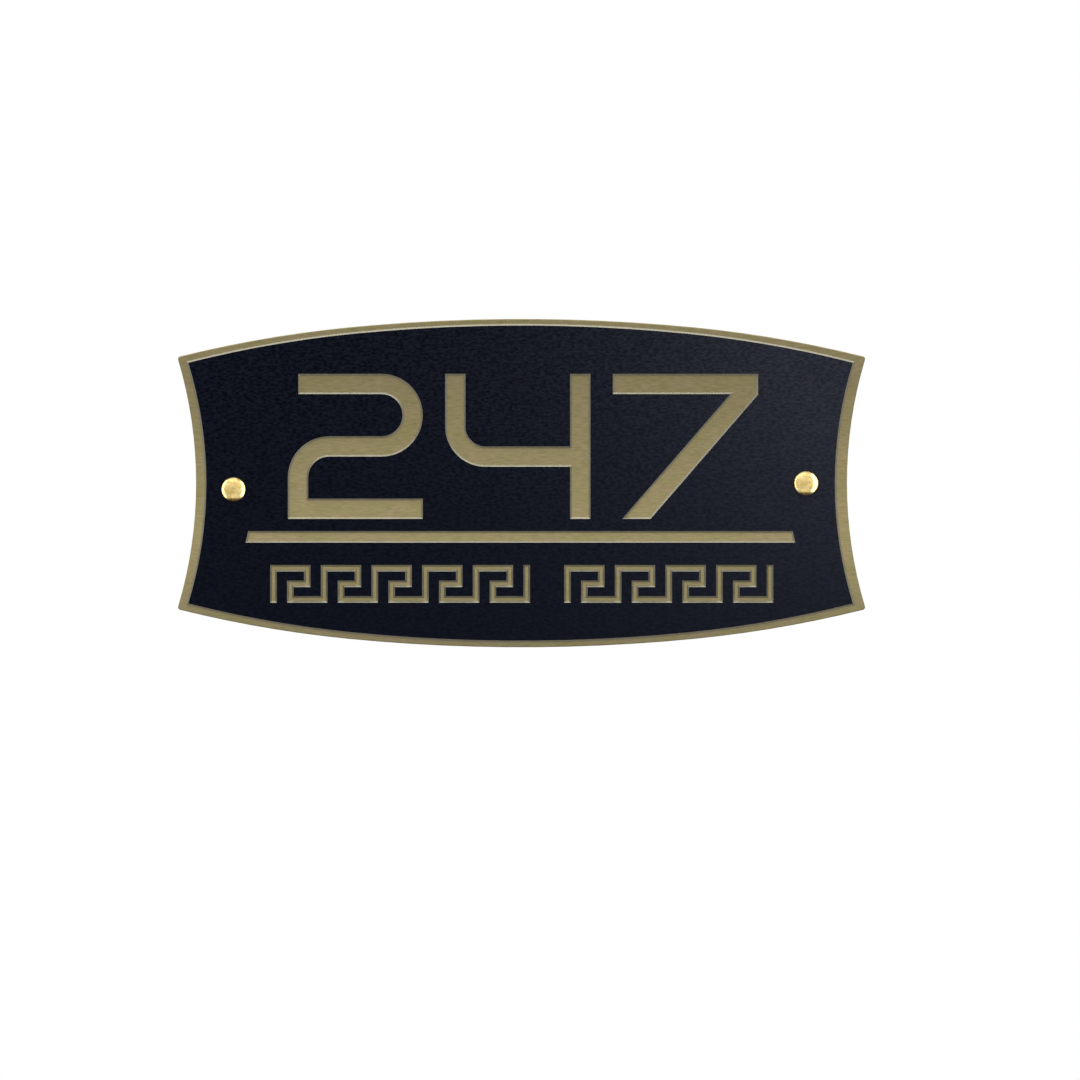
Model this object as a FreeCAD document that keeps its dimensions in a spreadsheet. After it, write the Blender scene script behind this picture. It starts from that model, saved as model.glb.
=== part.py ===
# House number plaque: an engraved metal plate, two fixing screws and their dome caps
# The plate stands in the XZ plane: its back on y = 0, its face towards -Y, the origin mid-back
import math
import os

import FreeCAD
import Part
import Sketcher

# How many key units each group of the band has
LEFT_KEY_COUNT = 5
RIGHT_KEY_COUNT = 4

# Every driving size, in millimetres and degrees; a share has no unit
SIZES = {
    # plate
    "overall_width": 360.0,
    "overall_height": 171.7,
    "waist_sag": 9.85,
    "tip_drop": 19.95,
    "tip_radius": 1.5,
    "plate_thickness": 5.0,
    "edge_break": 0.4,
    # share of a crown's fall that its middle half takes
    "crown_share": 0.219,
    # raised field, by the margin left round it at its foot
    "tip_margin": 5.2,
    "crown_margin": 2.6,
    "field_sag": 9.7,
    "field_tip_drop": 19.7,
    "field_shift": -0.5,
    # engraving; numerals and rule are given at their floor, and their mouth is a wall wider all round
    "cut_depth": 0.95,
    "wall_foot": 0.05,
    # numerals
    "numeral_height": 74.0,
    "numeral_foot": -17.8,
    "numeral_stroke": 8.8,
    "numeral_start": -121.2,
    "numeral_gap": 13.5,
    "two_width": 68.7,
    "two_bend_share": 0.28,
    "two_tip": 5.5,
    "four_width": 74.1,
    "four_bend_share": 0.272,
    "four_bar_share": 0.368,
    "seven_width": 74.1,
    "seven_foot": 6.0,
    "seven_leg": 12.4,
    "seven_notch": 11.55,
    "seven_corner": 0.85,
    # rule line
    "rule_top": -26.0,
    "rule_thickness": 4.2,
    "rule_inset": 38.5,
    "rule_flare": 1.0,
    "rule_shift": -0.6,
    # band of running keys, given at its mouth
    "band_start": -131.3,
    "band_foot": -62.5,
    "band_stroke": 3.4,
    "key_height": 19.7,
    "key_pitch": 8.82,
    "key_slope": 43.0,
    "group_pitch": 153.6,
    # fixings, by their distance in from the waist and up from the middle
    "left_inset": 19.65,
    "left_up": -3.3,
    "right_inset": 21.45,
    "right_up": -0.1,
    "shank_diameter": 4.2,
    "shank_clearance": 0.8,
    "neck_diameter": 3.8,
    "thread_gap": 0.5,
    "screw_length": 30.0,
    "screw_point": 6.0,
    "head_diameter": 8.4,
    "head_sink": 0.3,
    "slot_width": 1.2,
    "slot_depth": 1.0,
    "cap_diameter": 12.7,
    "cap_rim": 0.6,
    "cap_rise": 3.6,
    "stud_diameter": 2.6,
    "stud_length": 3.2,
    "stud_clearance": 0.2,
    "stud_end_gap": 0.6,
}

# Sizes that follow from the others
DERIVED = {
    "waist": "=overall_width / 2 - waist_sag",
    "tip_up": "=overall_height / 2 - tip_drop",
    "side_radius": "=(tip_up ^ 2 + waist_sag ^ 2) / (2 * waist_sag)",
    "field_floor": "=plate_thickness - cut_depth",
    "wall_run": "=cut_depth - wall_foot",
    "field_width": "=overall_width - 2 * tip_margin",
    "field_height": "=overall_height - 2 * crown_margin",
    "field_tip_up": "=field_height / 2 - field_tip_drop",
    "field_side_radius": "=(field_tip_up ^ 2 + field_sag ^ 2) / (2 * field_sag)",
    "two_bend": "=numeral_height * two_bend_share",
    "four_bend": "=numeral_height * four_bend_share",
    "four_bar": "=numeral_height * four_bar_share",
    "four_start": "=numeral_start + two_width + numeral_gap",
    "seven_start": "=four_start + four_width + numeral_gap",
    "left_across": "=left_inset - waist",
    "right_across": "=waist - right_inset",
    "hole_diameter": "=shank_diameter + shank_clearance",
    "countersink": "=head_diameter + 2 * head_sink",
    "head_floor": "=head_sink + (head_diameter - neck_diameter) / 2",
    "tapped_diameter": "=stud_diameter + stud_clearance",
    "tapped_depth": "=stud_length + stud_end_gap",
}
for name, fall in (("plate", "tip_drop"), ("field", "field_tip_drop")):
    width = {"plate": "overall_width", "field": "field_width"}[name]
    height = {"plate": "overall_height", "field": "field_height"}[name]
    reach = f"({width} / 4)"
    DERIVED[f"{name}_crown_drop"] = f"={fall} * crown_share"
    drop = f"{name}_crown_drop"
    DERIVED[f"{name}_crown_radius"] = f"=({reach} ^ 2 + {drop} ^ 2) / (2 * {drop})"
    lean = f"({reach} / {name}_crown_radius)"
    rest = f"({fall} - {drop})"
    gain = f"({rest} * sqrt(1 - {lean} ^ 2) - {reach} * {lean})"
    DERIVED[f"{name}_shoulder_radius"] = f"=({reach} ^ 2 + {rest} ^ 2) / (2 * {gain})"
    DERIVED[f"{name}_joint_up"] = f"={height} / 2 - {drop}"

# The plate's tips: an arc inside the shoulder and outside the hollow side
DERIVED["tip_turn"] = "=overall_width / 4 / plate_crown_radius"
DERIVED["shoulder_across"] = "=overall_width / 4 - plate_shoulder_radius * tip_turn"
DERIVED["shoulder_up"] = "=plate_joint_up - plate_shoulder_radius * sqrt(1 - tip_turn ^ 2)"
DERIVED["side_across"] = "=waist + side_radius"
DERIVED["tip_inner"] = "=plate_shoulder_radius - tip_radius"
DERIVED["tip_outer"] = "=side_radius + tip_radius"
DERIVED["tip_far"] = "=sqrt((side_across - shoulder_across) ^ 2 + shoulder_up ^ 2)"
DERIVED["tip_run"] = "=(tip_inner ^ 2 - tip_outer ^ 2 + tip_far ^ 2) / (2 * tip_far)"
DERIVED["tip_rise"] = "=sqrt(tip_inner ^ 2 - tip_run ^ 2)"
DERIVED["tip_lean"] = "=(side_across - shoulder_across) / tip_far"
DERIVED["tip_climb"] = "=-shoulder_up / tip_far"
DERIVED["tip_centre_across"] = "=shoulder_across + tip_run * tip_lean - tip_rise * tip_climb"
DERIVED["tip_centre_up"] = "=shoulder_up + tip_run * tip_climb + tip_rise * tip_lean"
for axis in ("across", "up"):
    side = "side_across" if axis == "across" else "0"
    reach = f"(tip_centre_{axis} - {side}) * side_radius / tip_outer"
    DERIVED[f"tip_side_{axis}"] = f"={side} + {reach}"
    reach = f"(tip_centre_{axis} - shoulder_{axis}) * plate_shoulder_radius / tip_inner"
    DERIVED[f"tip_crown_{axis}"] = f"=shoulder_{axis} + {reach}"

doc = FreeCAD.newDocument("plaque")
sheet = doc.addObject("Spreadsheet::Sheet", "sizes")
for row, (alias, value) in enumerate({**SIZES, **DERIVED}.items(), start=1):
    sheet.set(f"A{row}", alias)
    sheet.set(f"B{row}", str(value))
    sheet.setAlias(f"B{row}", alias)
doc.recompute()


def bound(text):
    """Turn a formula over the sheet's names into one that reads the sheet."""
    words = []
    word = ""
    for letter in text + " ":
        if letter.isalpha() or letter == "_":
            word += letter
            continue
        if word in SIZES or word in DERIVED:
            word = "sizes." + word
        words.append(word + letter)
        word = ""
    return "".join(words).strip()


def length(text):
    """The formula over the sheet's names as a length in millimetres."""
    return f"({bound(text)}) * 1 mm"


def number(text):
    """The present value of a formula over the sheet's names."""
    value = sheet.evalExpression(bound(text))
    return float(getattr(value, "Value", value))


def add_sketch(body, label, role, across="0", up="0", out="0"):
    """A sketch on one of the body's origin planes, moved by formulas in the plane's own directions."""
    sketch = body.newObject("Sketcher::SketchObject", label)
    plane = [item for item in body.Origin.OriginFeatures if item.Role == role][0]
    sketch.AttachmentSupport = [(plane, "")]
    sketch.MapMode = "FlatFace"
    for axis, text in zip("xyz", (across, up, out)):
        sketch.setExpression(f"AttachmentOffset.Base.{axis}", length(text))
    return sketch


def pin(sketch, item, end, texts):
    """Hold one end of a line or arc at the place two formulas give."""
    for kind, text in zip(("DistanceX", "DistanceY"), texts):
        index = sketch.addConstraint(Sketcher.Constraint(kind, -1, 1, item, end, number(text)))
        sketch.setExpression(f"Constraints[{index}]", length(text))


def bend(sketch, start, finish, radius, turn):
    """Add an arc from start to finish; turn is 1 for a left-hand bend and -1 for a right-hand one."""
    along = finish - start
    size = number(radius)
    rise = math.sqrt(max(size**2 - (along.Length / 2) ** 2, 0.0))
    normal = FreeCAD.Vector(-along.y, along.x, 0).normalize()
    centre = (start + finish) * 0.5 + normal * rise * turn
    ends = (start, finish) if turn > 0 else (finish, start)
    angles = [math.atan2(point.y - centre.y, point.x - centre.x) for point in ends]
    circle = Part.Circle(centre, FreeCAD.Vector(0, 0, 1), size)
    item = sketch.addGeometry(Part.ArcOfCircle(circle, *angles))
    index = sketch.addConstraint(Sketcher.Constraint("Radius", item, size))
    sketch.setExpression(f"Constraints[{index}]", length(radius))
    return item


def draw(sketch, corners, bends=None):
    """Draw a closed outline through corners given as formulas; bends turns a side into an arc."""
    bends = bends or {}
    places = [FreeCAD.Vector(number(across), number(up), 0) for across, up in corners]
    sides = []
    for index, start in enumerate(places):
        finish = places[(index + 1) % len(places)]
        if index in bends:
            radius, turn = bends[index]
            item = bend(sketch, start, finish, radius, turn)
            sides.append((item, 1, 2) if turn > 0 else (item, 2, 1))
        else:
            sides.append((sketch.addGeometry(Part.LineSegment(start, finish)), 1, 2))
    for index, (item, first, _) in enumerate(sides):
        before, _, last = sides[index - 1]
        sketch.addConstraint(Sketcher.Constraint("Coincident", before, last, item, first))
        pin(sketch, item, first, corners[index])


def draw_shield(sketch, name, quarter, tips, side_radius):
    """Draw a shield from its upper right quarter; a crown's middle arc runs into tighter shoulders."""
    corners = quarter + [(f"-({across})", up) for across, up in reversed(quarter)]
    corners += [(f"-({across})", f"-({up})") for across, up in corners]
    rising = tips + [(f"{name}_shoulder_radius", 1)]
    arcs = rising + [(f"{name}_crown_radius", 1)] + rising[::-1] + [(side_radius, -1)]
    draw(sketch, corners, dict(enumerate(arcs * 2)))


def sink(body, label, sketch, slope=None):
    """Cut a sketch's outlines below the face, with walls that slope in by an angle where one is given."""
    cut = body.newObject("PartDesign::Pocket", label)
    cut.Profile = sketch
    cut.setExpression("Length", length("cut_depth"))
    if slope:
        cut.setExpression("TaperAngle", f"-({bound(slope)}) * 1 deg")
    return cut


def key_groove(line):
    """A groove's outline from its centre line, given in steps and rises, with half a stroke each side."""
    ways = []
    for here, there in zip(line, line[1:]):
        gone = [there[axis] - here[axis] for axis in (0, 1)]
        ways.append([(value > 0) - (value < 0) for value in gone])
    flanks = ([], [])
    for index, place in enumerate(line):
        before = ways[max(index - 1, 0)]
        after = ways[min(index, len(ways) - 1)]
        overrun = (index == len(line) - 1) - (index == 0)
        for flank, side in zip(flanks, (1, -1)):
            across = side * (-before[1] or -after[1]) + overrun * after[0]
            up = side * (after[0] or before[0]) + overrun * after[1]
            flank.append((place[0], place[1], across > 0, up > 0))
    outline = []
    for steps, rises, right, above in flanks[1] + flanks[0][::-1]:
        across = f"{steps} * key_pitch" + (" + band_stroke" if right else "")
        up = f"{rises} * (key_height - band_stroke) / 2" + (" + band_stroke" if above else "")
        outline.append((across, up))
    return outline


def repeat(body, label, cut, sketch, count, gap):
    """Repeat a cut along its sketch's own level direction, at a gap given as a formula."""
    row = body.newObject("PartDesign::LinearPattern", label)
    row.Originals = [cut]
    row.Direction = (sketch, ["H_Axis"])
    row.Occurrences = count
    row.setExpression("Length", length(f"({count} - 1) * {gap}"))
    body.Tip = row
    doc.recompute()


def front_face(feature, out):
    """The name of the feature's flat face that lies this far in front of the back."""
    names = []
    for index, face in enumerate(feature.Shape.Faces, start=1):
        box = face.BoundBox
        if box.YLength < 1e-4 and abs(box.YMin + number(out)) < 1e-4:
            names.append(f"Face{index}")
    return names


# The plate's blank: the outline, with its front edge eased
plate = doc.addObject("PartDesign::Body", "engraved_plate")
plate.Label = "engraved_plate"
outline = add_sketch(plate, "plate_outline", "XZ_Plane")
rounded = [("tip_side_across", "tip_side_up"), ("tip_crown_across", "tip_crown_up")]
rounded.append(("overall_width / 4", "plate_joint_up"))
draw_shield(outline, "plate", rounded, [("tip_radius", 1)], "side_radius")
blank = plate.newObject("PartDesign::Pad", "blank")
blank.Profile = outline
blank.setExpression("Length", length("field_floor"))
doc.recompute()
broken = plate.newObject("PartDesign::Chamfer", "edge_break_cut")
broken.Base = (blank, front_face(blank, "field_floor"))
broken.setExpression("Size", length("edge_break"))

# The raised field
field_sketch = add_sketch(plate, "field_outline", "XZ_Plane", across="field_shift", out="field_floor")
square = [("field_width / 2", "field_tip_up"), ("field_width / 4", "field_joint_up")]
draw_shield(field_sketch, "field", square, [], "field_side_radius")
field = plate.newObject("PartDesign::Pad", "field")
field.Profile = field_sketch
field.setExpression("Length", length("cut_depth"))

# The numeral two: top bar, bowl, middle bar, bend, stem and base bar
two_place = ("numeral_start", "numeral_foot", "plate_thickness")
two_sketch = add_sketch(plate, "two_outline", "XZ_Plane", *two_place)
bowl = "two_width - two_bend"
bowl_up = "numeral_height - two_bend"
middle_foot = "numeral_height - 2 * two_bend"
middle_top = f"{middle_foot} + numeral_stroke"
bend_up = f"{middle_top} - two_bend"
inner_bend = "(two_bend - numeral_stroke)"
two_corners = [
    ("0", "0"),
    ("two_width", "0"),
    ("two_width", "numeral_stroke"),
    ("numeral_stroke", "numeral_stroke"),
    ("numeral_stroke", bend_up),
    ("two_bend", middle_foot),
    (bowl, middle_foot),
    ("two_width", bowl_up),
    (bowl, "numeral_height"),
    ("two_tip", "numeral_height"),
    ("two_tip", "numeral_height - numeral_stroke"),
    (bowl, "numeral_height - numeral_stroke"),
    ("two_width - numeral_stroke", bowl_up),
    (bowl, middle_top),
    ("two_bend", middle_top),
    ("0", bend_up),
]
two_bends = {4: (inner_bend, -1), 6: ("two_bend", 1), 7: ("two_bend", 1)}
two_bends.update({11: (inner_bend, -1), 12: (inner_bend, -1), 14: ("two_bend", 1)})
draw(two_sketch, two_corners, two_bends)
sink(plate, "numeral_two", two_sketch)

# The numeral four: left stem bending into the bar, and a full right stem
four_place = ("four_start", "numeral_foot", "plate_thickness")
four_sketch = add_sketch(plate, "four_outline", "XZ_Plane", *four_place)
right_stem = "four_width - numeral_stroke"
bar_top = "four_bar + numeral_stroke"
four_corners = [
    (right_stem, "0"),
    ("four_width", "0"),
    ("four_width", "numeral_height"),
    (right_stem, "numeral_height"),
    (right_stem, bar_top),
    ("four_bend", bar_top),
    ("numeral_stroke", "four_bar + four_bend"),
    ("numeral_stroke", "numeral_height"),
    ("0", "numeral_height"),
    ("0", "four_bar + four_bend"),
    ("four_bend", "four_bar"),
    (right_stem, "four_bar"),
]
draw(four_sketch, four_corners, {5: ("four_bend - numeral_stroke", -1), 9: ("four_bend", 1)})
sink(plate, "numeral_four", four_sketch)

# The numeral seven: top bar and slanting leg
seven_place = ("seven_start", "numeral_foot", "plate_thickness")
seven_sketch = add_sketch(plate, "seven_outline", "XZ_Plane", *seven_place)
bar_foot = "numeral_height - numeral_stroke"
seven_corners = [
    ("seven_foot", "0"),
    ("seven_foot + seven_leg", "0"),
    ("seven_width", f"{bar_foot} - seven_corner"),
    ("seven_width", "numeral_height"),
    ("0", "numeral_height"),
    ("0", bar_foot),
    ("seven_width - seven_notch", bar_foot),
]
draw(seven_sketch, seven_corners)
sink(plate, "numeral_seven", seven_sketch)

# The rule line, a little longer along its foot
rule_sketch = add_sketch(plate, "rule_outline", "XZ_Plane", "rule_shift", "rule_top", "plate_thickness")
rule_corners = [
    ("rule_inset - overall_width / 2 - rule_flare", "-rule_thickness"),
    ("overall_width / 2 - rule_inset + rule_flare", "-rule_thickness"),
    ("overall_width / 2 - rule_inset", "0"),
    ("rule_inset - overall_width / 2", "0"),
]
draw(rule_sketch, rule_corners)
rule = sink(plate, "rule", rule_sketch)
doc.recompute()

# Sloping walls all round the field and down into these cuts
walls = plate.newObject("PartDesign::Chamfer", "sloping_walls")
walls.Base = (rule, front_face(rule, "plate_thickness"))
walls.setExpression("Size", length("wall_run"))
plate.Tip = walls
doc.recompute()

# The band: a running key in two groups, each unit climbing, turning back and dropping to the next
groups = (("left", LEFT_KEY_COUNT, "band_start"), ("right", RIGHT_KEY_COUNT, "band_start + group_pitch"))
for name, key_count, place in groups:
    key_sketch = add_sketch(plate, f"{name}_key_outline", "XZ_Plane", place, "band_foot", "plate_thickness")
    draw(key_sketch, key_groove([(0, 0), (0, 2), (2, 2), (2, 1), (1, 1), (1, 0), (3, 0)]))
    key = sink(plate, f"{name}_key", key_sketch, "key_slope")
    repeat(plate, f"{name}_keys", key, key_sketch, key_count, "3 * key_pitch")
    end_sketch = add_sketch(plate, f"{name}_end_outline", "XZ_Plane", place, "band_foot", "plate_thickness")
    draw(end_sketch, key_groove([(3 * key_count, 0), (3 * key_count, 2)]))
    plate.Tip = sink(plate, f"{name}_end_stroke", end_sketch, "key_slope")
    doc.recompute()

# The countersunk holes for the fixings
fixings = (("left_across", "left_up"), ("right_across", "right_up"))
hole_sketch = add_sketch(plate, "hole_places", "XZ_Plane", out="plate_thickness")
for place in fixings:
    middle = FreeCAD.Vector(number(place[0]), number(place[1]), 0)
    ring = Part.Circle(middle, FreeCAD.Vector(0, 0, 1), number("hole_diameter") / 2)
    item = hole_sketch.addGeometry(ring)
    index = hole_sketch.addConstraint(Sketcher.Constraint("Diameter", item, number("hole_diameter")))
    hole_sketch.setExpression(f"Constraints[{index}]", length("hole_diameter"))
    pin(hole_sketch, item, 3, place)
doc.recompute()
holes = plate.newObject("PartDesign::Hole", "fixing_holes")
holes.Profile = hole_sketch
holes.DepthType = "ThroughAll"
holes.HoleCutType = "Countersink"
holes.HoleCutCustomValues = True
holes.setExpression("Diameter", length("hole_diameter"))
holes.setExpression("HoleCutDiameter", length("countersink"))
holes.HoleCutCountersinkAngle = 90
plate.Tip = holes
doc.recompute()


def spin(body, label, place, corners, bends=None):
    """Revolve a half profile, given out from a fixing's axis and back from the face, about that axis."""
    sketch = add_sketch(body, f"{label}_profile", "XY_Plane", place[0], "-plate_thickness", place[1])
    draw(sketch, corners, bends)
    turn = body.newObject("PartDesign::Revolution", label)
    turn.Profile = sketch
    turn.ReferenceAxis = (sketch, ["V_Axis"])
    return turn


# The screws: cone head with a tapped hole and a slot, neck, the thread's envelope and its point
screws = doc.addObject("PartDesign::Body", "fixing_screws")
screws.Label = "fixing_screws"
screws.AllowCompound = True
screw_end = "head_sink + screw_length"
thread_start = "plate_thickness + thread_gap"
tapped_radius = "tapped_diameter / 2"
tapped_floor = "head_sink + tapped_depth"
screw_corners = [
    (tapped_radius, "head_sink"),
    (tapped_radius, tapped_floor),
    ("0", f"{tapped_floor} + {tapped_radius}"),
    ("0", screw_end),
    ("shank_diameter / 2", f"{screw_end} - screw_point"),
    ("shank_diameter / 2", f"{thread_start} + (shank_diameter - neck_diameter) / 2"),
    ("neck_diameter / 2", thread_start),
    ("neck_diameter / 2", "head_floor"),
    ("head_diameter / 2", "head_sink"),
]
for side, place in zip(("left", "right"), fixings):
    spin(screws, f"{side}_screw", place, screw_corners)
slot_sketch = add_sketch(screws, "slot_outline", "XZ_Plane", out="plate_thickness - head_sink")
for across, up in fixings:
    left, right = f"{across} - head_diameter", f"{across} + head_diameter"
    foot, top = f"{up} - slot_width / 2", f"{up} + slot_width / 2"
    draw(slot_sketch, [(left, foot), (right, foot), (right, top), (left, top)])
slots = screws.newObject("PartDesign::Pocket", "driver_slots")
slots.Profile = slot_sketch
slots.setExpression("Length", length("slot_depth"))
screws.Tip = slots

# The caps: a polished dome on a short rim, with a stud behind it
caps = doc.addObject("PartDesign::Body", "dome_caps")
caps.Label = "dome_caps"
caps.AllowCompound = True
swell = "(cap_rise - cap_rim)"
dome_radius = f"((cap_diameter / 2) ^ 2 + {swell} ^ 2) / (2 * {swell})"
cap_corners = [
    ("0", "-cap_rise"),
    ("0", "head_sink + stud_length"),
    ("stud_diameter / 2", "head_sink + stud_length"),
    ("stud_diameter / 2", "0"),
    ("cap_diameter / 2", "0"),
    ("cap_diameter / 2", "-cap_rim"),
]
for side, place in zip(("left", "right"), fixings):
    spin(caps, f"{side}_cap", place, cap_corners, {5: (dome_radius, -1)})
doc.recompute()

# Nothing is written unless every object is sound
bodies = (plate, screws, caps)
for item in doc.Objects:
    if "Invalid" in item.State or "Error" in item.State:
        raise RuntimeError(f"{item.Name} did not compute: {item.getStatusString()}")
for body in bodies:
    wanted = 1 if body is plate else len(fixings)
    if body.Shape.isNull() or not body.Shape.isValid() or len(body.Shape.Solids) != wanted:
        raise RuntimeError(f"{body.Label} is not sound")
os.makedirs("parts", exist_ok=True)
for body in bodies:
    body.Shape.exportStep(f"parts/{body.Label}.step")
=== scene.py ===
"""House number plaque: an engraved brass plate with a black coat and capped wall screws."""

import logging
import math
from dataclasses import dataclass
from enum import Enum, IntEnum

import bmesh
import bpy
from mathutils import Matrix, Vector


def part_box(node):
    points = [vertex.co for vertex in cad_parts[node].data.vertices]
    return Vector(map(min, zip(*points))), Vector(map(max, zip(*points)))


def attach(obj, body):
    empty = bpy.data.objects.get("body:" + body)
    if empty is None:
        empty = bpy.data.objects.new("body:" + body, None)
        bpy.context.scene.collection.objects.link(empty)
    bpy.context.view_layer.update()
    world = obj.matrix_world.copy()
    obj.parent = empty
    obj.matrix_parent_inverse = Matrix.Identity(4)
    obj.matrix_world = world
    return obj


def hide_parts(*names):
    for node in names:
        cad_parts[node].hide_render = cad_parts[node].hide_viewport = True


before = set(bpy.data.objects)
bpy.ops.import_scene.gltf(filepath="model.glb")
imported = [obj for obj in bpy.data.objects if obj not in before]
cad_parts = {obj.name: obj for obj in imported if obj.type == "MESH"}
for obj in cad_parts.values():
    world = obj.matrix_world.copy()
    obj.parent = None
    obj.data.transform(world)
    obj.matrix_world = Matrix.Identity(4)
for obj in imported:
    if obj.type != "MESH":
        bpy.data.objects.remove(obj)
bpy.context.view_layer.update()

Colour = tuple[float, float, float]
Cell = tuple[float, float, float]
Range = tuple[float, float]

MM = 0.001
FULL_TURN = 2 * math.pi
MERGE_DISTANCE = 0.002 * MM
CAD_NORMALS = "custom_normal"
# Where most of a noise's values lie
NOISE_RANGE: Range = (0.3, 0.7)
RISING: Range = (0.0, 1.0)
FALLING: Range = (1.0, 0.0)
# The scales that keep a place's x and y and drop its height
FLATTENED = (1.0, 1.0, 0.0)
# The numbers of the Mix node's sockets for colours
MIX_AMOUNT, MIX_LOW, MIX_HIGH, MIX_RESULT = 0, 6, 7, 2
log = logging.getLogger("plaque")


class Slot(Enum):
    """The record's material slots."""

    PLATE = "bare_metal"
    SCREWS = "screw_metal"
    CAPS = "cap_metal"


class PlateFinish(IntEnum):
    """The plate's finishes, by the material number that its faces carry."""

    BRUSHED = 0
    COATED = 1
    CUT = 2
    ROLLED = 3


class Coordinates(Enum):
    """The texture coordinates that a pattern follows."""

    OBJECT = "Object"
    DIRECTION = "Generated"


class Measure(Enum):
    """What a place is measured for against a vector."""

    REACH_ALONG = "DOT_PRODUCT"
    WAY_TO_END = "DISTANCE"


class Blend(Enum):
    """How one colour acts on another."""

    COVER = "MIX"
    MULTIPLY = "MULTIPLY"


@dataclass(frozen=True)
class Grain:
    """Noise whose blotches have a given size along x, y and z, with finer layers in them."""

    cell: Cell
    detail: float = 2.0


@dataclass(frozen=True)
class Relief:
    """How far a surface rises where a value is high, and how much of the rise shows."""

    depth: float
    strength: float


def opaque(colour: Colour) -> tuple[float, float, float, float]:
    """Gives a colour its full alpha."""
    return (*colour, 1.0)


def grey(level: float) -> Colour:
    """Gives the grey of a level."""
    return (level, level, level)


class Graph:
    """Shader nodes that work on the coordinates of a place."""

    def __init__(self, tree: bpy.types.NodeTree, coordinates: Coordinates) -> None:
        """Starts a graph in a tree.

        Args:
            tree: The tree that the nodes join.
            coordinates: The texture coordinates that give the place.
        """
        self.tree = tree
        self.place = tree.nodes.new("ShaderNodeTexCoord").outputs[coordinates.value]

    def spread(
        self, value: bpy.types.NodeSocket, ends: Range, source: Range = NOISE_RANGE
    ) -> bpy.types.NodeSocket:
        """Maps a value from its own range to another one.

        Args:
            value: The output to map.
            ends: What the low and the high end become.
            source: The low and the high end of the value.

        Returns:
            The mapped value, held between the ends.
        """
        remap = self.tree.nodes.new("ShaderNodeMapRange")
        remap.inputs["From Min"].default_value, remap.inputs["From Max"].default_value = source
        remap.inputs["To Min"].default_value, remap.inputs["To Max"].default_value = ends
        self.tree.links.new(value, remap.inputs["Value"])
        return remap.outputs["Result"]

    def measure(self, wanted: Measure, vector: Vector) -> bpy.types.NodeSocket:
        """Measures the place against a vector.

        Args:
            wanted: What to measure.
            vector: The vector, in the place's own coordinates.

        Returns:
            The measure.
        """
        ruler = self.tree.nodes.new("ShaderNodeVectorMath")
        ruler.operation = wanted.value
        ruler.inputs[1].default_value = vector
        self.tree.links.new(self.place, ruler.inputs[0])
        return ruler.outputs["Value"]

    def tint(
        self,
        amount: bpy.types.NodeSocket,
        low: Colour | bpy.types.NodeSocket,
        high: Colour | bpy.types.NodeSocket,
        blend: Blend = Blend.COVER,
    ) -> bpy.types.NodeSocket:
        """Blends two colours.

        Args:
            amount: 0 for the low colour and 1 for the high one.
            low: A colour, or an output that gives one.
            high: The other colour, or an output that gives it.
            blend: How the high colour acts on the low one.

        Returns:
            The blended colour.
        """
        mix = self.tree.nodes.new("ShaderNodeMix")
        mix.data_type = "RGBA"
        mix.blend_type = blend.value
        self.tree.links.new(amount, mix.inputs[MIX_AMOUNT])
        for colour, socket in ((low, mix.inputs[MIX_LOW]), (high, mix.inputs[MIX_HIGH])):
            if isinstance(colour, bpy.types.NodeSocket):
                self.tree.links.new(colour, socket)
            else:
                socket.default_value = opaque(colour)
        return mix.outputs[MIX_RESULT]


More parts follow.
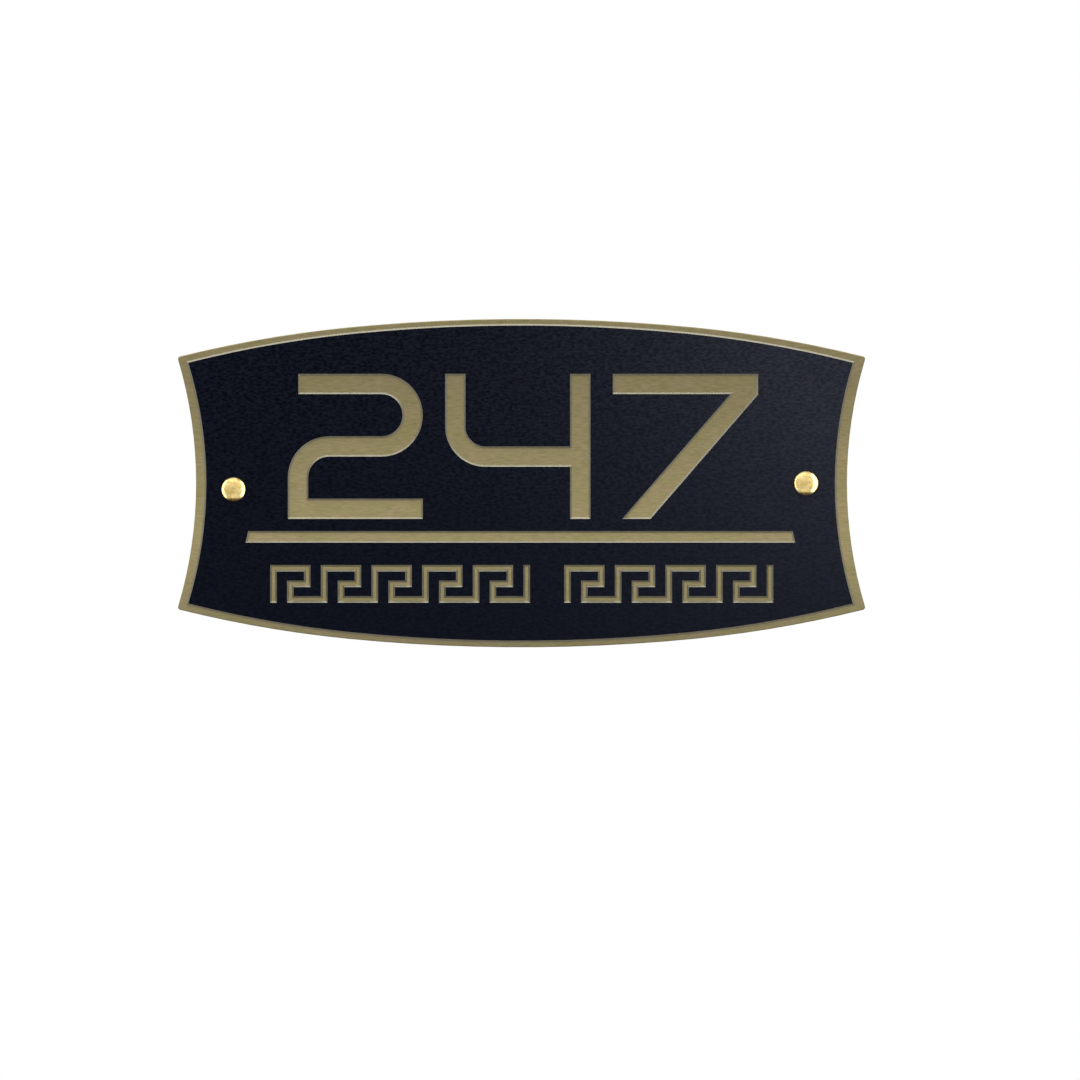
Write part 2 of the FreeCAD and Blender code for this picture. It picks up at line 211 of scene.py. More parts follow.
class Recipe(Graph):
    """A procedural material mixed on a piece's own Object coordinates."""

    def __init__(self, name: str, constants: dict[str, float]) -> None:
        """Starts the material with its constant values set on the shader.

        Args:
            name: The material's name.
            constants: The shader's sockets by name, and the value each one holds.
        """
        self.material = bpy.data.materials.new(name)
        self.material.use_nodes = True
        super().__init__(self.material.node_tree, Coordinates.OBJECT)
        self.shader = self.tree.nodes["Principled BSDF"]
        for socket, value in constants.items():
            self.shader.inputs[socket].default_value = value

    def feed(self, socket: str, output: bpy.types.NodeSocket) -> None:
        """Links an output to one of the shader's sockets."""
        self.tree.links.new(output, self.shader.inputs[socket])

    def noise(self, grain: Grain) -> bpy.types.NodeSocket:
        """Makes the noise of a grain.

        Args:
            grain: The grain.

        Returns:
            The noise, from 0 to 1 and mostly within NOISE_RANGE.
        """
        stretch = self.tree.nodes.new("ShaderNodeMapping")
        stretch.inputs["Scale"].default_value = [1 / size for size in grain.cell]
        self.tree.links.new(self.place, stretch.inputs["Vector"])
        noise = self.tree.nodes.new("ShaderNodeTexNoise")
        noise.inputs["Scale"].default_value = 1.0
        noise.inputs["Detail"].default_value = grain.detail
        self.tree.links.new(stretch.outputs["Vector"], noise.inputs["Vector"])
        return noise.outputs["Fac"]

    def across(self, start: Vector, end: Vector) -> bpy.types.NodeSocket:
        """Gives a ramp that rises from 0 at one point of the piece to 1 at another.

        Args:
            start: Where the ramp is 0.
            end: Where it is 1.

        Returns:
            The ramp, held between 0 and 1.
        """
        way = end - start
        reach = self.measure(Measure.REACH_ALONG, way)
        return self.spread(reach, RISING, (start.dot(way), end.dot(way)))

    def near(self, point: Vector, span: Range, power: float) -> bpy.types.NodeSocket:
        """Gives a glow that is 1 near a point and falls off to 0 away from it.

        Args:
            point: The middle of the glow.
            span: The distance up to which it is 1, and the one beyond which it is 0.
            power: How steeply it falls off at first.

        Returns:
            The glow, from 0 to 1.
        """
        fall = self.tree.nodes.new("ShaderNodeMath")
        fall.operation = "POWER"
        fall.inputs[1].default_value = power
        reach = self.spread(self.measure(Measure.WAY_TO_END, point), FALLING, span)
        self.tree.links.new(reach, fall.inputs[0])
        return fall.outputs["Value"]

    def emboss(self, height: bpy.types.NodeSocket, relief: Relief) -> None:
        """Raises the surface a little where a value is high.

        Args:
            height: The value, from 0 to 1.
            relief: How far and how strongly it rises.
        """
        bump = self.tree.nodes.new("ShaderNodeBump")
        bump.inputs["Strength"].default_value = relief.strength
        bump.inputs["Distance"].default_value = relief.depth
        self.tree.links.new(height, bump.inputs["Height"])
        self.feed("Normal", bump.outputs["Normal"])


@dataclass(frozen=True)
class BlackCoat:
    """Matt black enamel with fine level wrinkles, their painted shade weaker below, and a painted
    sheen to the upper right.
    """

    # Painted shade of the wrinkles: the troughs are painted darker than the crests.
    deep: Colour = (0.0000, 0.0004, 0.0034)
    raised: Colour = (0.0057, 0.0082, 0.0162)
    # Painted sheen: the coat is painted lighter towards the upper right, falling off with distance
    # from a middle point.
    sheened_deep: Colour = (0.0135, 0.0153, 0.0243)
    sheened_raised: Colour = (0.0285, 0.0307, 0.0427)
    sheen_middle: Vector = Vector((230 * MM, -5 * MM, 100 * MM))
    falloff_span: Range = (100 * MM, 420 * MM)
    sheen_power: float = 3.0
    wrinkle: Grain = Grain((2.3 * MM, 2.3 * MM, 1.1 * MM), 3.0)
    wrinkle_range: Range = (0.36, 0.64)
    wrinkle_relief: Relief = Relief(0.08 * MM, 0.6)
    # The wrinkles' painted shade is weaker towards the plate's foot than towards its top.
    weak_shade_range: Range = (0.28, 0.72)
    weak_shade_level: Vector = Vector((0, 0, -75 * MM))
    full_shade_level: Vector = Vector((0, 0, 60 * MM))
    cloud: Grain = Grain((40 * MM, 40 * MM, 25 * MM))
    roughness: Range = (0.40, 0.48)
    gloss: float = 0.04

    def mix(self) -> bpy.types.Material:
        """Mixes the finish.

        Returns:
            The finished material.
        """
        recipe = Recipe("black_coat", {"Metallic": 0.0, "Specular IOR Level": self.gloss})
        wrinkles = recipe.noise(self.wrinkle)
        # Painted shade of the wrinkles, weaker towards the foot.
        weak_shade = recipe.spread(wrinkles, self.weak_shade_range, self.wrinkle_range)
        full_shade = recipe.spread(wrinkles, RISING, self.wrinkle_range)
        height = recipe.tint(recipe.across(self.weak_shade_level, self.full_shade_level), weak_shade, full_shade)
        # Painted sheen, strongest near the upper right.
        painted_sheen = recipe.near(self.sheen_middle, self.falloff_span, self.sheen_power)
        low = recipe.tint(painted_sheen, self.deep, self.sheened_deep)
        high = recipe.tint(painted_sheen, self.raised, self.sheened_raised)
        recipe.feed("Base Color", recipe.tint(height, low, high))
        recipe.feed("Roughness", recipe.spread(recipe.noise(self.cloud), self.roughness))
        recipe.emboss(wrinkles, self.wrinkle_relief)
        return recipe.material


@dataclass(frozen=True)
class BrushedBrass:
    """Bronzed brass, brushed along the plate, with painted shade a little darker at its top and foot.
    """

    olive: Colour = (0.440, 0.384, 0.176)
    rose: Colour = (0.486, 0.396, 0.216)
    patch: Grain = Grain((12 * MM, 12 * MM, 5 * MM))
    streak: Grain = Grain((4.5 * MM, 4.5 * MM, 0.8 * MM), 4.0)
    streak_shade: Colour = (0.74, 0.74, 0.73)
    streak_relief: Relief = Relief(0.02 * MM, 0.4)
    # Painted shade: the brass is painted darker towards its top and towards its foot.
    top_painted_shade: Colour = (0.71, 0.71, 0.73)
    foot_painted_shade: Colour = (0.74, 0.75, 0.80)
    bright_level: Vector = Vector((0, 0, -28 * MM))
    top_level: Vector = Vector((0, 0, 50 * MM))
    foot_level: Vector = Vector((0, 0, -86 * MM))
    roughness: Range = (0.42, 0.54)
    brushing: float = 0.55
    quarter_turn: float = 0.25

    def mix(self) -> bpy.types.Material:
        """Mixes the finish.

        Returns:
            The finished material.
        """
        lay = {"Anisotropic": self.brushing, "Anisotropic Rotation": self.quarter_turn}
        recipe = Recipe("brushed_brass", {"Metallic": 1.0, **lay})
        streaks = recipe.noise(self.streak)
        patches = recipe.spread(recipe.noise(self.patch), RISING)
        brass = recipe.tint(patches, self.olive, self.rose)
        brass = recipe.tint(recipe.spread(streaks, FALLING), brass, self.streak_shade, Blend.MULTIPLY)
        to_top = recipe.across(self.bright_level, self.top_level)
        to_foot = recipe.across(self.bright_level, self.foot_level)
        # Painted shade towards the top, then towards the foot.
        brass = recipe.tint(to_top, brass, self.top_painted_shade, Blend.MULTIPLY)
        recipe.feed("Base Color", recipe.tint(to_foot, brass, self.foot_painted_shade, Blend.MULTIPLY))
        recipe.feed("Roughness", recipe.spread(streaks, self.roughness))
        recipe.emboss(streaks, self.streak_relief)
        return recipe.material


@dataclass(frozen=True)
class MillBack:
    """The plain rolled back of the plate, with roll lines and faint stains."""

    rolled: Colour = (0.46, 0.37, 0.17)
    rubbed: Colour = (0.56, 0.46, 0.23)
    roll_line: Grain = Grain((60 * MM, 60 * MM, 0.9 * MM), 5.0)
    line_relief: Relief = Relief(0.02 * MM, 0.5)
    stain: Colour = (0.84, 0.80, 0.76)
    blotch: Grain = Grain((45 * MM, 45 * MM, 30 * MM), 4.0)
    blotch_range: Range = (0.50, 0.72)
    scratch: Grain = Grain((1.5 * MM, 1.5 * MM, 25 * MM))
    roughness: Range = (0.34, 0.50)

    def mix(self) -> bpy.types.Material:
        """Mixes the finish.

        Returns:
            The finished material.
        """
        recipe = Recipe("mill_back", {"Metallic": 1.0})
        lines = recipe.noise(self.roll_line)
        brass = recipe.tint(recipe.spread(lines, RISING), self.rolled, self.rubbed)
        stains = recipe.spread(recipe.noise(self.blotch), RISING, self.blotch_range)
        recipe.feed("Base Color", recipe.tint(stains, brass, self.stain, Blend.MULTIPLY))
        recipe.feed("Roughness", recipe.spread(recipe.noise(self.scratch), self.roughness))
        recipe.emboss(lines, self.line_relief)
        return recipe.material


@dataclass(frozen=True)
class CutWall:
    """Greyer, paler brass on the sloping walls, a painted tint that turns their highlight cream."""

    # Painted highlight tint: greyer and paler than the brushed brass, varied at random by the
    # chatter.
    highlight_tint_dim: Colour = (0.312, 0.293, 0.230)
    highlight_tint_pale: Colour = (0.367, 0.347, 0.277)
    chatter: Grain = Grain((2.0 * MM, 2.0 * MM, 2.0 * MM))
    roughness: Range = (0.36, 0.44)

    def mix(self) -> bpy.types.Material:
        """Mixes the finish.

        Returns:
            The finished material.
        """
        recipe = Recipe("cut_wall", {"Metallic": 1.0})
        chatter = recipe.noise(self.chatter)
        recipe.feed("Base Color", recipe.tint(recipe.spread(chatter, RISING), self.highlight_tint_dim, self.highlight_tint_pale))
        recipe.feed("Roughness", recipe.spread(chatter, self.roughness))
        return recipe.material


@dataclass(frozen=True)
class PolishedBrass:
    """Bright yellow brass, polished and handled."""

    deep: Colour = (0.80, 0.56, 0.17)
    bright: Colour = (0.99, 0.81, 0.38)
    smear: Grain = Grain((1.8 * MM, 1.8 * MM, 2.6 * MM))
    fleck_shade: Colour = (0.62, 0.54, 0.44)
    fleck: Grain = Grain((1.9 * MM, 1.9 * MM, 0.8 * MM))
    fleck_range: Range = (0.60, 0.70)
    roughness: Range = (0.18, 0.25)

    def mix(self) -> bpy.types.Material:
        """Mixes the finish.

        Returns:
            The finished material.
        """
        recipe = Recipe("polished_brass", {"Metallic": 1.0})
        smears = recipe.noise(self.smear)
        flecks = recipe.spread(recipe.noise(self.fleck), RISING, self.fleck_range)
        brass = recipe.tint(recipe.spread(smears, RISING), self.deep, self.bright)
        recipe.feed("Base Color", recipe.tint(flecks, brass, self.fleck_shade, Blend.MULTIPLY))
        recipe.feed("Roughness", recipe.spread(smears, self.roughness))
        return recipe.material


@dataclass(frozen=True)
class TurnedBrass:
    """Brass straight from the lathe, with rings round the shank."""

    deep: Colour = (0.52, 0.40, 0.17)
    bright: Colour = (0.66, 0.53, 0.26)
    ring: Grain = Grain((6.0 * MM, 0.12 * MM, 6.0 * MM), 3.0)
    ring_relief: Relief = Relief(0.01 * MM, 0.5)
    roughness: Range = (0.24, 0.36)

    def mix(self) -> bpy.types.Material:
        """Mixes the finish.

        Returns:
            The finished material.
        """
        recipe = Recipe("turned_brass", {"Metallic": 1.0})
        rings = recipe.noise(self.ring)
        recipe.feed("Base Color", recipe.tint(recipe.spread(rings, RISING), self.deep, self.bright))
        recipe.feed("Roughness", recipe.spread(rings, self.roughness))
        recipe.emboss(rings, self.ring_relief)
        return recipe.material


@dataclass(frozen=True)
class PalePaper:
    """The pale floor of the studio, which runs out into the white behind it."""

    shade: Colour = (0.86, 0.86, 0.86)
    mottle: Colour = (0.88, 0.88, 0.87)
    fibre: Grain = Grain((60 * MM, 60 * MM, 60 * MM))
    falloff_span: Range = (1.2, 2.9)
    roughness: float = 0.8
    gloss: float = 0.1

    def mix(self) -> bpy.types.Material:
        """Mixes the finish.

        Returns:
            The finished material.
        """
        plain = {"Roughness": self.roughness, "Specular IOR Level": self.gloss}
        recipe = Recipe("pale_paper", plain)
        fibres = recipe.noise(self.fibre)
        recipe.feed("Base Color", recipe.tint(fibres, self.shade, self.mottle))
        level = recipe.tree.nodes.new("ShaderNodeMapping")
        level.inputs["Scale"].default_value = FLATTENED
        recipe.tree.links.new(recipe.place, level.inputs["Vector"])
        reach = recipe.tree.nodes.new("ShaderNodeVectorMath")
        reach.operation = "LENGTH"
        recipe.tree.links.new(level.outputs["Vector"], reach.inputs[0])
        recipe.feed("Alpha", recipe.spread(reach.outputs["Value"], FALLING, self.falloff_span))
        return recipe.material


@dataclass
class Piece:
    """A finished piece that stands for one node of the frame."""

    name: str
    node: str
    slot: Slot
    smooth_below: float = math.radians(30)

    def box(self) -> tuple[Vector, Vector]:
        """Gives the lowest and the highest corner of the node."""
        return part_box(self.node)

    def merged_copy(self) -> bmesh.types.BMesh:
        """Copies the node's mesh with its loose triangles joined up.

        Returns:
            The copy, with shared vertices.
        """
        copy = bmesh.new()
        copy.from_mesh(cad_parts[self.node].data)
        bmesh.ops.remove_doubles(copy, verts=copy.verts, dist=MERGE_DISTANCE)
        return copy

    def publish(
        self, shape: bmesh.types.BMesh, finishes: list[bpy.types.Material]
    ) -> bpy.types.Object:
        """Turns a finished shape into a piece that rides on the plaque.

        Args:
            shape: The shape, in metres, in its place. It is used up.
            finishes: The materials, in the order of the faces' material numbers.

        Returns:
            The new piece.
        """
        mesh = bpy.data.meshes.new(self.name)
        shape.to_mesh(mesh)
        shape.free()
        for finish in finishes:
            mesh.materials.append(finish)
        if CAD_NORMALS in mesh.attributes:
            mesh.attributes.remove(mesh.attributes[CAD_NORMALS])
        mesh.shade_smooth()
        mesh.set_sharp_from_angle(angle=self.smooth_below)
        piece = bpy.data.objects.new(self.name, mesh)
        bpy.context.scene.collection.objects.link(piece)
        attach(piece, "root")
        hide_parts(self.node)
        return piece


@dataclass
class EngravedPlate(Piece):
    """The brass plate, with its face coated black and its cuts and border left bare."""

    name: str = "plate_engraved"
    node: str = "engraved_plate"
    slot: Slot = Slot.PLATE
    face_tolerance: float = 0.02 * MM
    flat_beyond: float = 0.999
    sloping_beyond: float = 0.1
    cut_depth: float = 0.95 * MM

    def build(self) -> bpy.types.Object:
        """Makes the plate and sorts its faces by finish.

        Returns:
            The finished plate.
        """
        shape = self.merged_copy()
        front = self.box()[0].y
        shape.normal_update()
        for face in shape.faces:
            face.material_index = self.finish_of(face, front).value
        finishes = {
            PlateFinish.BRUSHED: BrushedBrass(),
            PlateFinish.COATED: BlackCoat(),
            PlateFinish.CUT: CutWall(),
            PlateFinish.ROLLED: MillBack(),
        }
        return self.publish(shape, [finishes[number].mix() for number in PlateFinish])

    def finish_of(self, face: bmesh.types.BMFace, front: float) -> PlateFinish:
        """Chooses a face's finish.

        Args:
            face: A face of the plate.
            front: Where the coated face lies, along y.

        Returns:
            The finish: rolled at the back, coated on the raised face, cut on a sloping wall, or
            else brushed.
        """
        depth = face.calc_center_median().y - front
        towards_viewer = -face.normal.y
        if towards_viewer < -self.flat_beyond:
            return PlateFinish.ROLLED
        if towards_viewer > self.flat_beyond:
            return PlateFinish.COATED if depth < self.face_tolerance else PlateFinish.BRUSHED
        sloping = towards_viewer > self.sloping_beyond
        return PlateFinish.CUT if sloping and depth < self.cut_depth else PlateFinish.BRUSHED


@dataclass(frozen=True)
class Ridge:
    """A thread wound round a shank that lies along y."""

    root: float
    crest: float
    pitch: float
    start: float
    end: float
    taper_from: float
    tip: float
    steps_a_turn: int = 28
    foot_share: float = 0.38
    sink: float = 0.1 * MM
    least_taper: float = 0.02
    first_height: float = 0.2

    @property
    def foot(self) -> float:
        """The radius of the thread's foot, a little inside the shank."""
        return self.root - self.sink

    def wind(self, shape: bmesh.types.BMesh, centre: Vector) -> None:
        """Adds the thread to a shape.

        Args:
            shape: The shape that the thread joins.
            centre: A point on the shank's axis.
        """
        half_foot = self.foot_share * self.pitch
        section = [(self.foot, -half_foot), (self.crest, 0.0), (self.foot, half_foot)]
        corners = [
            shape.verts.new(centre + Vector((radius, self.start - centre.y + along, 0)))
            for radius, along in section
        ]
        face = shape.faces.new(corners)
        old = set(shape.verts) - set(corners)
        turns = (self.end - self.start) / self.pitch
        steps = round(turns * self.steps_a_turn)
        bmesh.ops.spin(
            shape,
            geom=[face, *face.edges, *corners],
            cent=centre,
            axis=(0, 1, 0),
            dvec=(0, (self.end - self.start) / steps, 0),
            angle=turns * FULL_TURN,
            steps=steps,
        )
        for vertex in set(shape.verts) - old:
            self.shrink(vertex, centre)

    def shrink(self, vertex: bmesh.types.BMVert, centre: Vector) -> None:
        """Draws a vertex in where the shank tapers or the thread begins.

        Args:
            vertex: A vertex of the thread.
            centre: A point on the shank's axis.
        """
        along = vertex.co.y
        run_in = min(1.0, max(0.0, (along - self.start) / self.pitch))
        height = self.first_height + (1 - self.first_height) * run_in
        left = (self.tip - along) / (self.tip - self.taper_from)
        taper = min(1.0, max(self.least_taper, left))
        arm = Vector((vertex.co.x - centre.x, 0, vertex.co.z - centre.z))
        reach = self.foot + (arm.length - self.foot) * height
        arm = arm.normalized() * (reach * taper)
        vertex.co = Vector((centre.x + arm.x, along, centre.z + arm.z))


@dataclass
class DomeCaps(Piece):
    """The two polished dome caps that hide the screw heads."""

    name: str = "caps_domed"
    node: str = "dome_caps"
    slot: Slot = Slot.CAPS
    radius: float = 6.35 * MM
    rim: float = 0.6 * MM
    rise: float = 3.6 * MM
    rim_edge: float = 0.12 * MM
    rim_steps: int = 3
    stud_core: float = 1.05 * MM
    stud_thread: float = 1.3 * MM
    stud_pitch: float = 0.45 * MM
    stud_chamfer: float = 0.3 * MM
    dome_steps: int = 20
    round_steps: int = 96

    def build(self) -> bpy.types.Object:
        """Makes both caps.

        Returns:
            The finished pair.
        """
        shape = bmesh.new()
        low, high = self.box()
        left = Vector((low.x + self.radius, low.y, low.z + self.radius))
        right = Vector((high.x - self.radius, low.y, high.z - self.radius))
        for pole in (left, right):
            cap = self.turn(pole, high.y)
            self.soften_rim(cap, pole)
            self.thread(high.y, pole).wind(cap, pole)
            add_to(shape, cap)
        bmesh.ops.recalc_face_normals(shape, faces=shape.faces)
        return self.publish(shape, [PolishedBrass().mix()])

    def turn(self, pole: Vector, stud_end: float) -> bmesh.types.BMesh:
        """Turns one cap with its plain stud.

        Args:
            pole: The top of the dome.
            stud_end: Where the stud ends, along y.

        Returns:
            The turned cap.
        """
        cap = bmesh.new()
        crown = self.rise - self.rim
        sphere = (self.radius**2 + crown**2) / (2 * crown)
        arc = bmesh.ops.spin(
            cap,
            geom=[cap.verts.new(pole)],
            cent=pole + Vector((0, sphere, 0)),
            axis=(0, 0, 1),
            angle=math.asin(self.radius / sphere),
            steps=self.dome_steps,
        )
        last = arc["geom_last"][0]
        side = 1 if last.co.x > pole.x else -1
        for radius, along in self.profile(pole.y + self.rise, stud_end):
            corner = cap.verts.new(Vector((pole.x + side * radius, along, pole.z)))
            cap.edges.new((last, corner))
            last = corner
        bmesh.ops.spin(
            cap,
            geom=[*cap.verts, *cap.edges],
            cent=pole,
            axis=(0, 1, 0),
            angle=FULL_TURN,
            steps=self.round_steps,
            use_merge=True,
        )
        bmesh.ops.remove_doubles(cap, verts=cap.verts, dist=MERGE_DISTANCE)
        return cap

    def profile(self, seat: float, stud_end: float) -> list[tuple[float, float]]:
        """Gives the outline of the rim and the stud, from the dome's edge to the axis.

        Args:
            seat: Where the cap sits on the plate, along y.
            stud_end: Where the stud ends, along y.

        Returns:
            Each corner's radius and place along y.
        """
        return [
            (self.radius, seat),
            (self.stud_core, seat),
            (self.stud_core, stud_end - self.stud_chamfer),
            (self.stud_core - self.stud_chamfer, stud_end),
            (0.0, stud_end),
        ]

    def thread(self, stud_end: float, pole: Vector) -> Ridge:
        """Gives the thread of a cap's stud.

        Args:
            stud_end: Where the stud ends, along y.
            pole: The top of the dome.

        Returns:
            The thread.
        """
        return Ridge(
            root=self.stud_core,
            crest=self.stud_thread,
            pitch=self.stud_pitch,
            start=pole.y + self.rise + self.stud_pitch,
            end=stud_end - self.stud_chamfer,
            taper_from=stud_end,
            tip=stud_end + self.stud_pitch,
        )

    def soften_rim(self, cap: bmesh.types.BMesh, pole: Vector) -> None:
        """Rounds the edge between the dome and its rim.

        Args:
            cap: The turned cap.
            pole: The top of the dome.
        """
        edge_line = pole.y + self.rise - self.rim
        edges = [
            edge
            for edge in cap.edges
            if all(abs(vertex.co.y - edge_line) < MERGE_DISTANCE for vertex in edge.verts)
        ]
        bmesh.ops.bevel(
            cap,
            geom=edges,
            offset=self.rim_edge,
            affect="EDGES",
            segments=self.rim_steps,
            profile=0.5,
            material=-1,
        )


@dataclass
class FixingScrews(Piece):
    """The two countersunk wall screws, with a cut thread on each shank."""

    name: str = "screws_threaded"
    node: str = "fixing_screws"
    slot: Slot = Slot.SCREWS
    head_radius: float = 4.2 * MM
    shank: float = 2.1 * MM
    shank_tolerance: float = 0.1 * MM
    neck: float = 1.9 * MM
    core: float = 1.5 * MM
    point: float = 6.0 * MM
    pitch: float = 1.9 * MM
    thread_start: float = 1.2 * MM

    def build(self) -> bpy.types.Object:
        """Makes both screws.

        Returns:
            The finished pair.
        """
        shape = self.merged_copy()
        low, high = self.box()
        thread = Ridge(
            root=self.core,
            crest=self.shank,
            pitch=self.pitch,
            start=self.thread_start,
            end=high.y - self.pitch / 2,
            taper_from=high.y - self.point,
            tip=high.y,
        )
        left = Vector((low.x + self.head_radius, 0, low.z + self.head_radius))
        right = Vector((high.x - self.head_radius, 0, high.z - self.head_radius))
        for centre in (left, right):
            self.thin_shank(shape, centre)
            thread.wind(shape, centre)
        bmesh.ops.recalc_face_normals(shape, faces=shape.faces)
        return self.publish(shape, [TurnedBrass().mix()])

    def thin_shank(self, shape: bmesh.types.BMesh, centre: Vector) -> None:
        """Draws the threaded stretch of a shank in to the thread's root.

        Args:
            shape: The shape that holds the shank.
            centre: A point on the shank's axis.
        """
        inner = (self.neck + self.shank) / 2
        outer = self.shank + self.shank_tolerance
        for vertex in shape.verts:
            arm = Vector((vertex.co.x - centre.x, 0, vertex.co.z - centre.z))
            if vertex.co.y > 0 and inner < arm.length < outer:
                arm *= self.core / self.shank
                vertex.co = Vector((centre.x + arm.x, vertex.co.y, centre.z + arm.z))


def add_to(shape: bmesh.types.BMesh, part: bmesh.types.BMesh) -> None:
    """Adds one shape to another.

    Args:
        shape: The shape that grows.
        part: The shape that is added. It is used up.
    """
    mesh = bpy.data.meshes.new("joined")
    part.to_mesh(mesh)
    part.free()
    shape.from_mesh(mesh)
    bpy.data.meshes.remove(mesh)


@dataclass(frozen=True)
class Softbox:
    """A lamp behind a diffusing panel, aimed at the plaque and flagged off from some pieces."""

    name: str
    place: Vector
    width: float
    height: float
    power: float
    aim: Vector = Vector((0, 0, 0))

    def hang(self, lit: tuple[bpy.types.Object, ...]) -> None:
        """Hangs the softbox in its place.

        Args:
            lit: The only pieces that its light reaches.
        """
        lamp = bpy.data.lights.new(self.name, "AREA")
        lamp.shape = "RECTANGLE"
        lamp.size = self.width
        lamp.size_y = self.height
        lamp.energy = self.power
        panel = bpy.data.objects.new(self.name, lamp)
        panel.location = self.place
        panel.rotation_euler = (self.aim - self.place).to_track_quat("-Z", "Y").to_euler()
        bpy.context.scene.collection.objects.link(panel)
        reached = bpy.data.collections.new(self.name + "_reaches")
        for piece in lit:
            reached.objects.link(piece)
        panel.light_linking.receiver_collection = reached


@dataclass(frozen=True)
class Air:
    """Light from all round, brighter above than below and shaded low on the wall's side."""

    brightness_by_height: tuple[Range, ...] = (
        (-1.0, 0.70),
        (0.0, 0.74),
        (0.25, 0.78),
        (0.6, 0.98),
        (1.0, 1.08),
    )
    shade: Colour = (0.17, 0.115, 0.075)
    shade_way: Vector = Vector((0, 0.36, -0.93))
    shade_edge: Range = (0.70, 0.78)
    backdrop: float = 1.0
    up: Vector = Vector((0, 0, 1))
    heights: Range = (-1.0, 1.0)

    def fill(self) -> None:
        """Makes the world that gives the light and, to the camera, a white backdrop."""
        world = bpy.data.worlds.new("studio_air")
        world.use_nodes = True
        tree = world.node_tree
        graph = Graph(tree, Coordinates.DIRECTION)
        light = tree.nodes["Background"]
        brightest = max(brightness for _, brightness in self.brightness_by_height)
        light.inputs["Strength"].default_value = brightest
        towards = graph.measure(Measure.REACH_ALONG, self.shade_way)
        inside = graph.spread(towards, RISING, self.shade_edge)
        shaded = graph.tint(inside, self.grade(graph, brightest), self.shade, Blend.MULTIPLY)
        tree.links.new(shaded, light.inputs["Color"])
        sheet = tree.nodes.new("ShaderNodeBackground")
        sheet.inputs["Color"].default_value = opaque(grey(self.backdrop))
        seen = tree.nodes.new("ShaderNodeLightPath").outputs["Is Camera Ray"]
        choose = tree.nodes.new("ShaderNodeMixShader")
        sources = (seen, light.outputs["Background"], sheet.outputs["Background"])
        for source, socket in zip(sources, choose.inputs):
            tree.links.new(source, socket)
        tree.links.new(choose.outputs["Shader"], tree.nodes["World Output"].inputs["Surface"])
        bpy.context.scene.world = world

    def grade(self, graph: Graph, brightest: float) -> bpy.types.NodeSocket:
        """Grades the light by height.

        Args:
            graph: The world's nodes.
            brightest: The brightness that counts as 1.

        Returns:
            The brightness as a grey, from 0 to 1.
        """
        ramp = graph.tree.nodes.new("ShaderNodeValToRGB")
        stops = ramp.color_ramp.elements
        while len(stops) < len(self.brightness_by_height):
            stops.new(1.0)
        lowest, highest = self.heights
        for stop, (height, brightness) in zip(stops, self.brightness_by_height):
            stop.position = (height - lowest) / (highest - lowest)
            stop.color = opaque(grey(brightness / brightest))
        above = graph.measure(Measure.REACH_ALONG, self.up)
        graph.tree.links.new(graph.spread(above, RISING, self.heights), ramp.inputs["Fac"])
        return ramp.outputs["Color"]


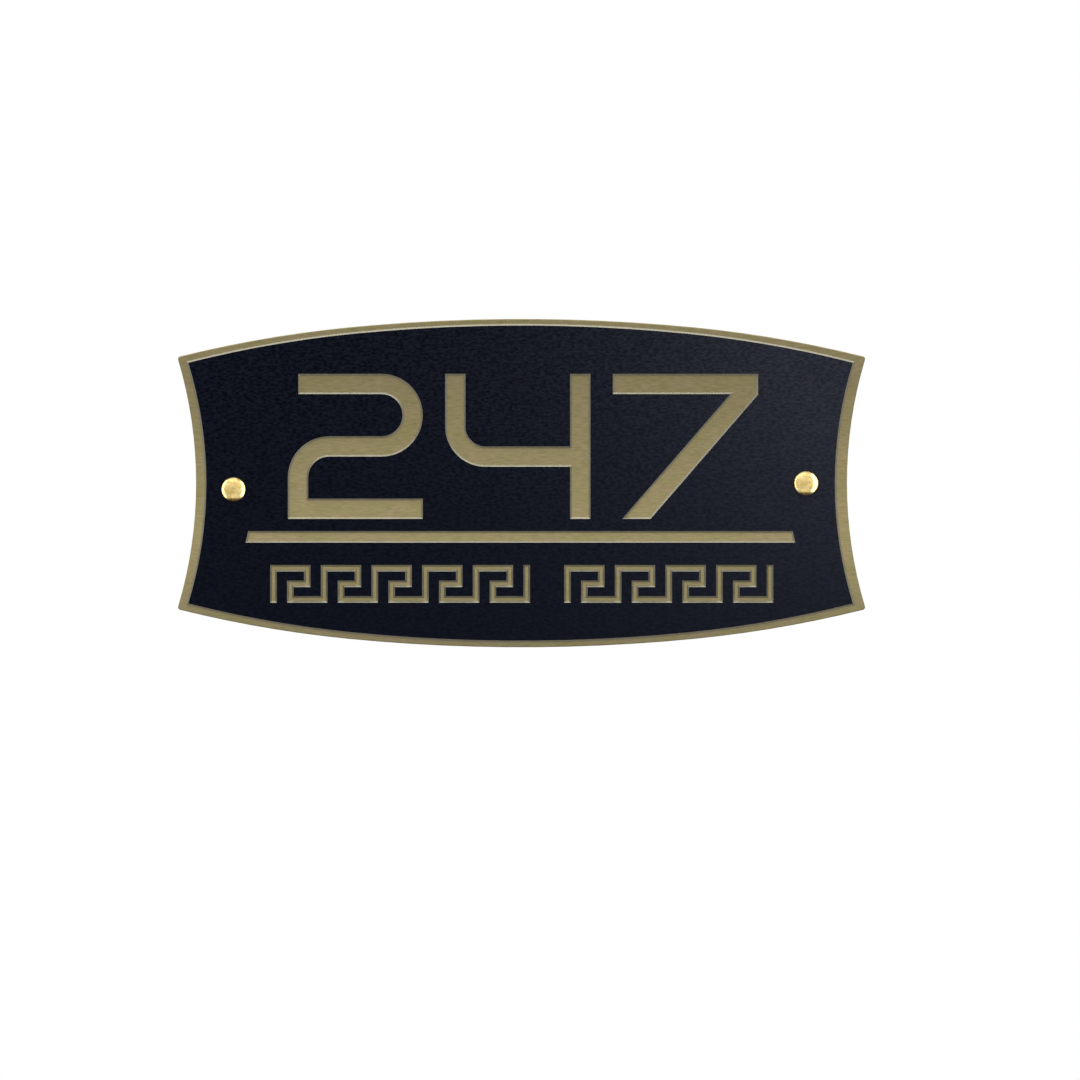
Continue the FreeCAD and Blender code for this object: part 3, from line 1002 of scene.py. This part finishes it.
@dataclass(frozen=True)
class Studio:
    """The floor, the light round the plaque and the camera."""

    floor_half: float = 3.0
    floor_level: float = -0.9
    face: float = -5.0 * MM
    frame_width: float = 0.5643
    camera_x: float = 9.65 * MM
    camera_z: float = -29.75 * MM
    lens: float = 135.0
    sensor: float = 36.0
    nearest: float = 0.05
    farthest: float = 20.0
    satin_lamps: tuple[Softbox, ...] = (
        Softbox("overhead", Vector((0, -0.45, 1.15)), width=3.0, height=0.9, power=13.4),
        Softbox("underneath", Vector((0, -0.1, -0.85)), width=2.0, height=0.6, power=1.2),
    )
    cap_lamps: tuple[Softbox, ...] = (
        Softbox("right_rim", Vector((1.0, -0.15, 0.05)), width=0.7, height=2.3, power=13.0),
        Softbox("left_rim", Vector((-1.0, 0.08, 0.05)), width=0.5, height=2.0, power=7.6),
        Softbox("top_rim", Vector((-0.25, -0.16, 0.95)), width=0.9, height=0.8, power=0.8),
        Softbox("right_glow", Vector((0.57, -0.82, 0.1)), width=0.6, height=1.0, power=0.4),
        Softbox("foot_glow", Vector((0, -0.6, -0.8)), width=0.9, height=0.5, power=0.35),
    )

    def build(self, satin: tuple[bpy.types.Object, ...], caps: bpy.types.Object) -> None:
        """Sets up the whole studio.

        Args:
            satin: The plate and the screws, which two softboxes light together with the floor.
            caps: The polished caps, which have softboxes of their own.
        """
        bpy.context.scene.view_settings.view_transform = "Standard"
        floor = self.lay_floor()
        Air().fill()
        for lamp in self.satin_lamps:
            lamp.hang((*satin, floor))
        for lamp in self.cap_lamps:
            lamp.hang((caps,))
        self.place_camera()

    def lay_floor(self) -> bpy.types.Object:
        """Lays the pale floor below the plaque.

        Returns:
            The floor.
        """
        shape = bmesh.new()
        lower = Matrix.Translation((0, 0, self.floor_level))
        bmesh.ops.create_grid(
            shape, x_segments=1, y_segments=1, size=self.floor_half, matrix=lower
        )
        mesh = bpy.data.meshes.new("floor")
        shape.to_mesh(mesh)
        shape.free()
        mesh.materials.append(PalePaper().mix())
        floor = bpy.data.objects.new("floor", mesh)
        bpy.context.scene.collection.objects.link(floor)
        floor.visible_glossy = False
        floor.visible_diffuse = False
        return floor

    def place_camera(self) -> None:
        """Puts the camera straight in front of the plaque's face."""
        camera = bpy.data.cameras.new("camera")
        camera.lens = self.lens
        camera.sensor_width = self.sensor
        camera.clip_start = self.nearest
        camera.clip_end = self.farthest
        distance = self.frame_width * self.lens / self.sensor
        stand = bpy.data.objects.new("camera", camera)
        stand.location = (self.camera_x, self.face - distance, self.camera_z)
        stand.rotation_euler = (math.pi / 2, 0, 0)
        bpy.context.scene.collection.objects.link(stand)
        bpy.context.scene.camera = stand


def main() -> None:
    """Builds the plaque piece by piece, then the studio round it."""
    logging.basicConfig(level=logging.INFO, format="%(name)s: %(message)s")
    plate = EngravedPlate().build()
    screws = FixingScrews().build()
    caps = DomeCaps().build()
    for piece in (plate, screws, caps):
        log.info("%s: %d faces", piece.name, len(piece.data.polygons))
    Studio().build((plate, screws), caps)
    log.info("studio: floor, air, softboxes and camera")


if __name__ == "__main__":
    main()
